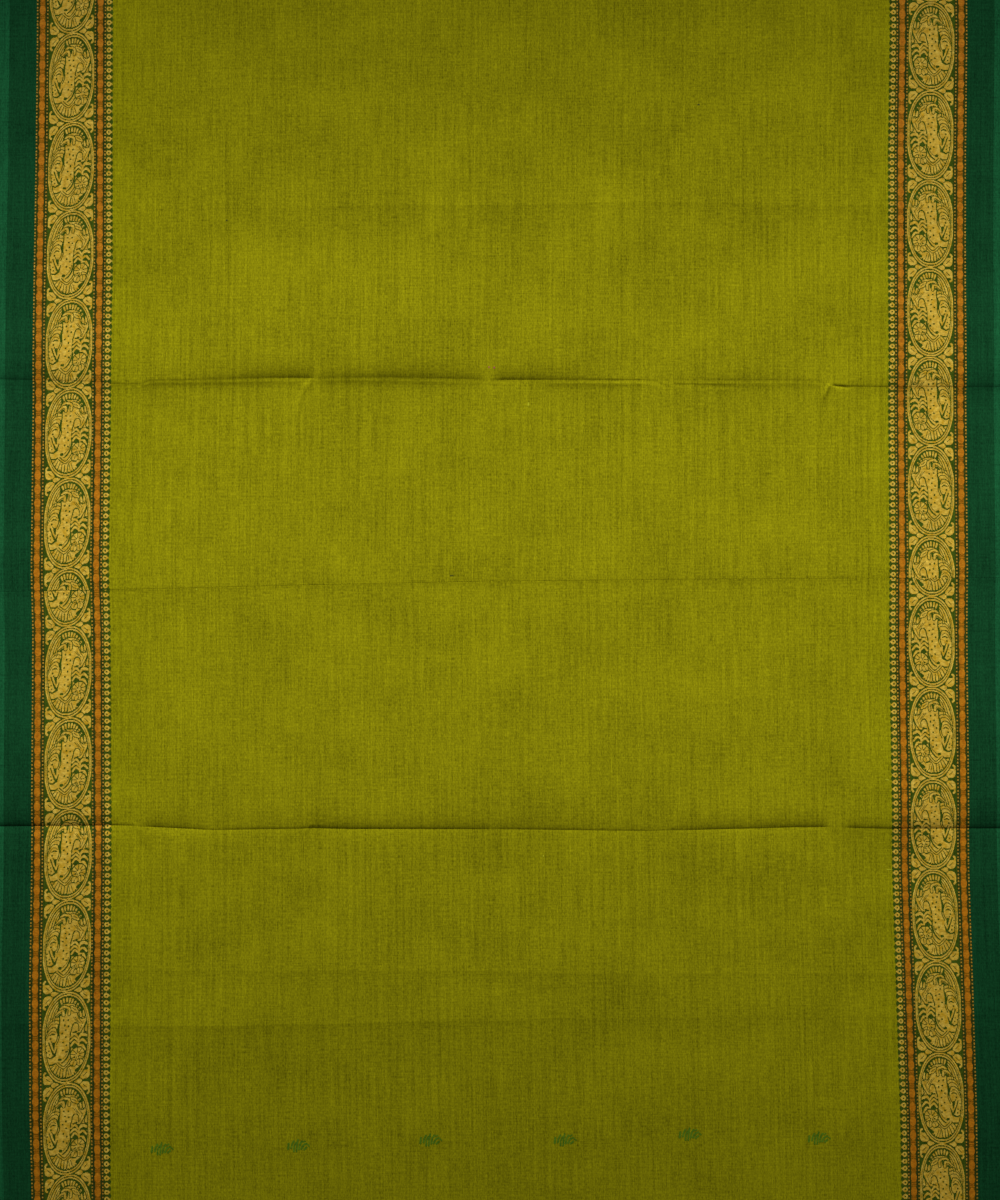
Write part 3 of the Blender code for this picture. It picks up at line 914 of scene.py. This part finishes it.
def figures(e, s, border):
    """The gold, the orange and the brass of one repeat. e is the distance from the selvedge, and s
    runs down."""
    pitch = REPEAT / MEDALLIONS
    p = e - MEDALLION_MIDDLE
    up = border.shear * p - s
    from_junction = (up + pitch / 2) % pitch - pitch / 2
    from_centre = up % pitch - pitch / 2
    leaves = corner_leaves(p, from_junction) & ~oval(p, from_centre, -LEAF_CLEAR, -LEAF_CLEAR)
    gold = (np.abs(p) < MEDALLION_HALF) & (medallion(p, from_centre) | leaves)

    dot = REPEAT / DOTS
    along = s % dot - dot / 2
    brass = np.zeros(e.shape, bool)
    for middle in DOT_ROWS:
        brass |= (np.abs(e - middle) < DOT_HALF_WIDTH) & (np.abs(along) < DOT_HALF_LENGTH)

    ring = REPEAT / RINGS
    along = s % ring - ring / 2
    away = np.hypot(e - RING_MIDDLE, along)
    gold |= (away > RING_RADII[0]) & (away < RING_RADII[1])
    reach = e - RING_MIDDLE - POINT_START
    gold |= (reach > 0) & (np.abs(along) < POINT_HALF_WIDTH * (1 - reach / POINT_LENGTH))

    bead = REPEAT / BEADS
    orange = np.zeros(e.shape, bool)
    for middle, phase in zip(BEAD_MIDDLES, border.bead_phases):
        across, along = np.abs(e - middle), np.abs((s / bead + phase) % 1 * bead - bead / 2)
        shape = (across / BEAD_HALF_WIDTH) ** BEAD_POWER + (along / BEAD_HALF_LENGTH) ** BEAD_POWER
        orange |= shape < 1
        between = bead / 2 - along
        neck = (across / NECK_HALF_WIDTH) ** 2 + (between / NECK_HALF_LENGTH) ** 2
        orange |= (neck < 1) & (s // PICK % 2 == 0)
    return gold, orange, brass


def runs(mask):
    """Each pick's threads: the cells where they start and end, and their pick."""
    edges = np.diff(np.pad(mask, ((0, 0), (1, 1))).astype(int), axis=1)
    picks, starts = np.nonzero(edges == 1)
    _, ends = np.nonzero(edges == -1)
    return starts, ends, picks


def first_repeat(border):
    """Where the border's first repeat starts along the cloth."""
    u = np.array([border.side * (WIDTH / 2 - MEDALLION_MIDDLE / 1000)])
    return float(top_s(u, top_start(u) - border.junction)[0]) % (REPEAT / 1000)


def covered(u, s):
    """Whether a place has no threads: on an inner layer, under the tuck or at the cloth's ends."""
    inner = (s > LAYER_START[1]) & (s < LAYER_START[TOP] - LOOP_LENGTH)
    distance, tuck = top_distance(u, s), tuck_distance(u)
    after = tuck + 2 * tuck_depth(u) + 2 * TUCK_CLEAR
    tucked = (distance > tuck - TUCK_CLEAR) & (distance < after)
    return inner | tucked | (s < THREAD_END) | (s > CLOTH_END - THREAD_END)


def lay_threads(name, left, right, s):
    """Raised threads across the cloth, one four-cornered face for each, from left to right at s."""
    keep = ~covered((left + right) / 2, s + PICK / 2000)
    left, right, s = left[keep], right[keep], s[keep]
    u = np.stack([left, right, right, left], 1).ravel()
    s = (s[:, None] + np.array([1, 1, 0, 0]) * PICK / 1000).ravel()
    place, face = cloth_at(u, s)
    points = place + THREAD_LIFT * face
    threads = new_mesh(name, points, np.arange(len(points)).reshape(-1, 4))
    map_piece(threads, u, s, np.zeros(u.shape))
    return threads


def border_threads(name, border, mask):
    """One colour of a border, repeat after repeat."""
    low, high, pick = runs(mask)
    first, repeat = first_repeat(border), REPEAT / 1000
    starts = np.array([first + (k - 1) * repeat for k in range(math.ceil(CLOTH_END / repeat) + 1)])
    ends = [border.side * (WIDTH / 2 - (BORDER_START + cells * CELL) / 1000) for cells in (low, high)]
    left, right = (np.tile(end, len(starts)) for end in sorted(ends, key=lambda end: end[0]))
    s = (starts[:, None] + pick * PICK / 1000).ravel()
    return lay_threads(name, left, right, s + drift_at(s))


def on_cloth(x, y):
    """The cloth's own place under a place seen on the top layer."""
    u = np.array([2 * x - laid_x(TOP, x, y)])
    hidden = np.where(y < crease_line(TUCK, u), 2 * tuck_depth(u), 0.0)
    return float(u[0]), float(top_s(u, top_start(u) - y + hidden)[0])


def flower_threads():
    """The row of small flowers in the body, worked in a few floats each."""
    across = np.arange(-FLOWER_REACH, FLOWER_REACH, CELL) + CELL / 2
    across, up = np.meshgrid(across, (FLOWER_MIDDLE - np.arange(FLOWER_PICKS)) * PICK)
    low, high, pick = runs(sum(limb(across, up, *stroke) for stroke in FLOWER_STROKES) > 0)
    ends = []
    for x, y in FLOWERS:
        u, s = on_cloth(x, y)
        left, right = (u + cells * CELL / 1000 - FLOWER_REACH / 1000 for cells in (low, high))
        ends.append((left, right, s + (pick - FLOWER_MIDDLE) * PICK / 1000))
    return lay_threads("flower_threads", *np.concatenate(ends, axis=1))


def slub_threads(colour, slubs):
    """Thick places in single threads, and odd fibres caught in the weave."""
    left, right, s = [], [], []
    for x, y, across, along in slubs:
        picks = max(round(along / PICK), 1)
        u, middle = on_cloth(x, y)
        for k in range(picks):
            share = math.sqrt(1 - ((k + 0.5) * 2 / picks - 1) ** 2)
            left.append(u - across * share / 2000)
            right.append(u + across * share / 2000)
            s.append(middle + (k - picks / 2) * PICK / 1000)
    return lay_threads(f"{colour}_slubs", *(np.array(values) for values in (left, right, s)))


def tone(colour):
    """A colour from its screen values of 0 to 255, as the shaders take it."""
    parts = (c / 255 for c in colour)
    return tuple(c / 12.92 if c <= 0.04045 else ((c + 0.055) / 1.055) ** 2.4 for c in parts) + (1.0,)


def new_material(name):
    """A node material, and its shader."""
    material = bpy.data.materials.new(name)
    material.use_nodes = True
    return material, material.node_tree.nodes["Principled BSDF"]


def set_inputs(node, values):
    for name, value in values.items():
        node.inputs[name].default_value = value


# A noise, by the width and length of its grains on the cloth, its strength, its start and its detail
Grain = namedtuple("Grain", "width length strength shift detail", defaults=(2.0,))
MIX_INPUTS, MIX_OUTPUT = (0, 6, 7), 2


class Shading:
    """Builds a node material step by step."""

    def __init__(self, name, roughness, specular):
        self.material, self.shader = new_material(name)
        self.tree = self.material.node_tree
        set_inputs(self.shader, {"Roughness": roughness, "Specular IOR Level": specular})
        self.place = self.node("ShaderNodeUVMap", uv_map="cloth").outputs["UV"]
        split = self.node("ShaderNodeSeparateXYZ")
        self.link(self.place, split.inputs[0])
        self.across, self.along = split.outputs["X"], split.outputs["Y"]

    def node(self, kind, **settings):
        made = self.tree.nodes.new(kind)
        for key, value in settings.items():
            setattr(made, key, value)
        return made

    def link(self, value, socket):
        """Joins a socket to another, or sets it to a plain value."""
        if isinstance(value, bpy.types.NodeSocket):
            self.tree.links.new(value, socket)
        else:
            socket.default_value = value

    def math(self, operation, *values):
        made = self.node("ShaderNodeMath", operation=operation)
        for value, socket in zip(values, made.inputs):
            self.link(value, socket)
        return made.outputs[0]

    @cache
    def noise(self, grain):
        scaled = self.node("ShaderNodeVectorMath", operation="MULTIPLY_ADD")
        self.link(self.place, scaled.inputs[0])
        scaled.inputs[1].default_value = (1 / grain.width, 1 / grain.length, 1.0)
        scaled.inputs[2].default_value = (grain.shift,) * 3
        made = self.node("ShaderNodeTexNoise")
        self.link(scaled.outputs[0], made.inputs["Vector"])
        set_inputs(made, {"Scale": 1.0, "Detail": grain.detail})
        return made.outputs["Fac"]

    def swung(self, value, grain):
        """The value, moved up and down by the grain's noise."""
        swing = self.math("SUBTRACT", self.noise(grain), 0.5)
        return self.math("MULTIPLY_ADD", swing, grain.strength, value)

    def mixed(self, share, a, b, blend="MIX"):
        made = self.node("ShaderNodeMix", data_type="RGBA", blend_type=blend)
        for value, place in zip((share, a, b), MIX_INPUTS):
            self.link(value, made.inputs[place])
        return made.outputs[MIX_OUTPUT]

    def finish(self, colour, grains):
        """The material in its colour, made lighter and darker by grains."""
        total = 1.0
        for grain in grains:
            total = self.swung(total, grain)
        grey = self.node("ShaderNodeCombineColor")
        for socket in grey.inputs:
            self.link(total, socket)
        varied = self.mixed(1.0, colour, grey.outputs[0], blend="MULTIPLY")
        self.link(varied, self.shader.inputs["Base Color"])
        return self.material

    def bump(self, grain, distance):
        made = self.node("ShaderNodeBump")
        set_inputs(made, {"Strength": 1.0, "Distance": distance})
        self.link(self.noise(grain), made.inputs["Height"])
        self.link(made.outputs[0], self.shader.inputs["Normal"])


SELVEDGE_GREEN = (24, 87, 49)
STRIP_GREEN = (18, 68, 36)
BORDER_BROWN = (52, 62, 20)
MEDALLION_GREEN = (62, 81, 17)
RUST = (136, 92, 14)
OLIVE = (142, 138, 9)

# Where each stripe starts, in millimetres from the selvedge. The body's edge is toothed
STRIPES = (
    (0.0, SELVEDGE_GREEN),
    (27.6, STRIP_GREEN),
    (58.2, BORDER_BROWN),
    (62.3, RUST),
    (68.1, BORDER_BROWN),
    (72.0, MEDALLION_GREEN),
    (124.6, BORDER_BROWN),
    (128.5, RUST),
    (134.3, BORDER_BROWN),
    (138.0, MEDALLION_GREEN),
)
STRIPE_SPAN = 160.0
BODY_START = 0.1447
TOOTH_DEPTH = 0.0016

YARN = Grain(0.0012, 0.003, 1.15, 0, 1)
YARN_RELIEF = 0.0001
CLOTH_GRAINS = table(
    Grain,
    (0.004, 0.25, 0.35, 9),
    (0.0026, 0.05, 0.6, 7),
    (0.0017, 0.7, 0.42, 17, 1),
    (0.0015, 0.012, 0.6, 5),
    YARN,
    (0.012, 0.0012, 0.6, 3),
    (0.06, 0.0018, 0.35, 13),
    (0.09, 0.07, 0.5, 11),
)


def cloth_material():
    """Green selvedge strips and border grounds, and the olive body with its streaky yarn."""
    made = Shading("sari_weave", roughness=0.9, specular=0.02)
    far = made.math("SUBTRACT", WIDTH, made.across)
    from_edge = made.math("MINIMUM", made.across, far)
    ramp_node = made.node("ShaderNodeValToRGB")
    stops = ramp_node.color_ramp
    stops.interpolation = "CONSTANT"
    while len(stops.elements) < len(STRIPES):
        stops.elements.new(1.0)
    for element, (start, colour) in zip(stops.elements, STRIPES):
        element.position = start / STRIPE_SPAN
        element.color = tone(colour)
    made.link(made.math("DIVIDE", from_edge, STRIPE_SPAN / 1000), ramp_node.inputs[0])

    half_ring = REPEAT / RINGS / 2000
    phases = [first_repeat(border) for border in BORDERS]
    on_right = made.math("GREATER_THAN", made.across, WIDTH / 2)
    phase = made.math("MULTIPLY_ADD", on_right, phases[1] - phases[0], phases[0])
    tooth = made.math("PINGPONG", made.math("SUBTRACT", made.along, phase), half_ring)
    tooth = made.math("MULTIPLY_ADD", tooth, -TOOTH_DEPTH / half_ring, BODY_START + TOOTH_DEPTH)
    in_body = made.math("GREATER_THAN", from_edge, tooth)
    colour = made.mixed(in_body, ramp_node.outputs[0], tone(OLIVE))

    made.bump(YARN, YARN_RELIEF)
    return made.finish(colour, CLOTH_GRAINS)


# The deep colour of each silk, and its pale colour, which is painted sheen
SILKS = {
    "gold": ((190, 148, 20), (218, 185, 74)),
    "orange": ((177, 105, 4), (194, 126, 18)),
    "brass": ((168, 120, 18), (200, 154, 50)),
    "teal": ((72, 110, 12), (98, 130, 18)),
    "dark": ((70, 74, 12), (90, 90, 12)),
    "yellow": ((176, 178, 20), (190, 190, 40)),
    "pink": ((176, 66, 84), (186, 84, 96)),
}
# Noise that places the painted sheen: where it is high, the pale colour is mixed in
GLOSS = Grain(0.0045, 0.006, 2, 19, 1)
FLOATS = Grain(0.003, 0.002, 0.9, 5, 1)
FLOAT_RELIEF = 0.0002
THREAD_GRAINS = table(Grain, FLOATS, (0.006, 0.01, 0.35, 8), (0.03, 0.05, 0.3, 2))


def thread_material(name, silk):
    """Silky thread, lighter and darker from float to float, with painted sheen where its pale colour is
    mixed in.
    """
    made = Shading(name, roughness=0.6, specular=0.12)
    # Painted sheen: the gloss noise mixes the pale colour into the deep one
    colour = made.mixed(made.swung(0.5, GLOSS), *map(tone, silk))
    made.bump(FLOATS, FLOAT_RELIEF)
    return made.finish(colour, THREAD_GRAINS)


def dress(piece, material):
    piece.data.materials.append(material)
    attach(piece, "root")


def make_sari():
    cloth = make_cloth()
    dress(cloth, cloth_material())
    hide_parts(NODE)
    silks = {name: thread_material(f"{name}_thread", silk) for name, silk in SILKS.items()}
    e = np.arange(BORDER_START + CELL / 2, BORDER_END, CELL)
    s = (np.arange(round(REPEAT / PICK)) + 0.5) * PICK
    e, s = np.meshgrid(e, s)
    threads = []
    for border, side in zip(BORDERS, ("left", "right")):
        for colour, cells in zip(("gold", "orange", "brass"), figures(e, s, border)):
            threads.append(border_threads(f"{colour}_threads_{side}", border, cells))
            dress(threads[-1], silks[colour])
    threads.append(flower_threads())
    dress(threads[-1], silks["teal"])
    for colour, slubs in SLUBS.items():
        threads.append(slub_threads(colour, slubs))
        dress(threads[-1], silks[colour])


# The studio
PHOTO_WIDTH, PHOTO_HEIGHT = 1000, 1200
VIEW_WIDTH = 1.106
VIEW_HEIGHT = VIEW_WIDTH * PHOTO_HEIGHT / PHOTO_WIDTH
LENS = 70.0
SENSOR = 36.0
CAMERA_TILT = math.radians(1.5)
CAMERA_REACH = 50
CLOTH_TOP = 0.0108
KEY_PLACE = (-0.05, 1.912, 0.861)
KEY_AIM = 0.01
KEY_SIZE = (2.6, 0.5)
KEY_SPREAD = math.radians(22.3)
KEY_POWER = 7.75
WORLD_LIGHT = 0.155
FLOOR_SIZE = 12.0
FLOOR_LEVEL = -0.0003
FLOOR_ROUGHNESS = 0.9
FLOOR_COLOUR = (226, 223, 216)


def make_floor():
    bpy.ops.mesh.primitive_plane_add(size=FLOOR_SIZE, location=(0, 0, FLOOR_LEVEL))
    floor = bpy.context.object
    floor.name = "floor"
    material, shader = new_material("floor")
    set_inputs(shader, {"Base Color": tone(FLOOR_COLOUR), "Roughness": FLOOR_ROUGHNESS})
    floor.data.materials.append(material)


def make_camera():
    distance = LENS / SENSOR * VIEW_HEIGHT
    data = bpy.data.cameras.new("camera")
    data.sensor_fit = "VERTICAL"
    data.sensor_height = SENSOR
    data.lens = LENS
    data.clip_end = CAMERA_REACH
    camera = new_object("camera", data)
    back, up = distance * math.sin(CAMERA_TILT), distance * math.cos(CAMERA_TILT)
    camera.location = (0.0, -back, CLOTH_TOP + up)
    camera.rotation_euler = (CAMERA_TILT, 0.0, 0.0)
    bpy.context.scene.camera = camera


def make_lights():
    key = bpy.data.lights.new("key", "AREA")
    key.shape = "RECTANGLE"
    key.size, key.size_y = KEY_SIZE
    key.spread = KEY_SPREAD
    key.energy = KEY_POWER
    key_object = new_object("key", key)
    key_object.location = KEY_PLACE
    key_object.rotation_euler = (-math.atan2(KEY_PLACE[1] - KEY_AIM, KEY_PLACE[2]), 0, 0)
    world = bpy.data.worlds.new("studio")
    world.use_nodes = True
    background = world.node_tree.nodes["Background"]
    set_inputs(background, {"Color": (1, 1, 1, 1), "Strength": WORLD_LIGHT})
    bpy.context.scene.world = world
    bpy.context.scene.view_settings.view_transform = "Standard"


make_sari()
make_floor()
make_lights()
make_camera()
